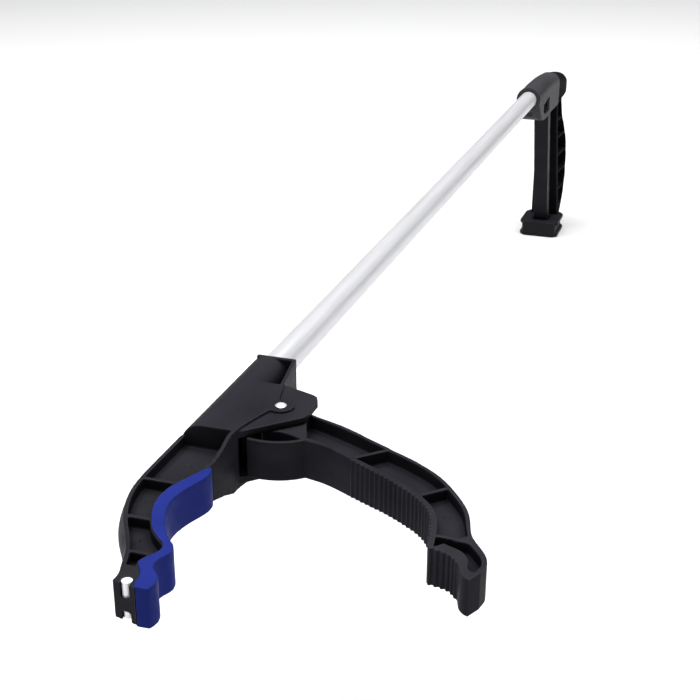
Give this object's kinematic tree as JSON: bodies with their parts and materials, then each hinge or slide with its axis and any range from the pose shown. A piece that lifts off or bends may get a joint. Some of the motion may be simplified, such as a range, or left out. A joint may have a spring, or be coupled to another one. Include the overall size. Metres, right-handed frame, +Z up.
{
  "type": "reacher grabber",
  "caption": "Long-reach pick-up tool: pistol handle with a trigger, slim straight tube, one fixed padded jaw and one hinged ribbed jaw.",
  "frame": {"origin": "centre of the underside of the handle's foot, with the tool standing on that foot and its tube level", "axes": "+Z up from the foot to the tube; +Y along the tube from the jaws to the handle; +X towards the side the moving jaw opens to"},
  "size_m": [0.1328, 0.8542, 0.1465],
  "materials": {
    "jaw_plastic": "moulded charcoal plastic, faintly grained",
    "pad_rubber": "satin blue rubber",
    "magnet": "bright plated magnet",
    "rivet_steel": "polished steel",
    "tube_aluminium": "smooth pale silver-white finish on aluminium",
    "screw_steel": "zinc plated",
    "guide_plastic": "natural nylon",
    "link_plastic": "moulded black plastic",
    "rod_steel": "drawn steel",
    "spring_steel": "spring steel",
    "handle_plastic": "moulded charcoal plastic, semi-gloss on the head",
    "foot_plastic": "moulded charcoal plastic",
    "trigger_plastic": "moulded charcoal plastic with a satin edge"
  },
  "bodies": {
    "frame": {"jaw_body": "jaw_plastic", "jaw_pad": "pad_rubber", "tip_magnet": "magnet", "jaw_rivet": "rivet_steel", "rivet_washer": "rivet_steel", "tube": "tube_aluminium", "tube_fixing_screws": "screw_steel", "rod_guide_front": "guide_plastic", "rod_guide_rear": "guide_plastic", "return_spring": "spring_steel", "handle": "handle_plastic", "handle_foot": "foot_plastic", "foot_screw": "screw_steel", "trigger_hinge_pin": "rod_steel"},
    "moving_jaw": {"moving_jaw": "jaw_plastic"},
    "pull_rod": {"pull_rod": "rod_steel", "rod_front_fork": "link_plastic", "rod_rear_eye": "link_plastic", "lever_pin": "rod_steel", "trigger_rod_pin": "rod_steel", "pin_clips": "spring_steel", "spring_collar": "guide_plastic"},
    "trigger": {"trigger": "trigger_plastic"}
  },
  "joints": [
    {"name": "jaw_close", "type": "hinge", "parent": "frame", "child": "moving_jaw", "pos_m": [0.0211, -0.686, 0.1334], "axis": [0, 0, -1], "range_deg": [0, 45]},
    {"name": "rod_pull", "type": "slide", "parent": "frame", "child": "pull_rod", "axis": [0, 1, 0], "range_m": [0, 0.0176], "stiffness_N_per_m": 60, "springref_m": -0.01, "deforming": ["return_spring"]},
    {"name": "trigger_pull", "type": "hinge", "parent": "frame", "child": "trigger", "pos_m": [0, -0.003, 0.0075], "axis": [-1, 0, 0], "range_deg": [0, 7.95]}
  ],
  "couplings": [
    {"joint": "rod_pull", "follows": "jaw_close", "m_per_rad": 0.022258},
    {"joint": "trigger_pull", "follows": "jaw_close", "ratio": 0.17513}
  ]
}
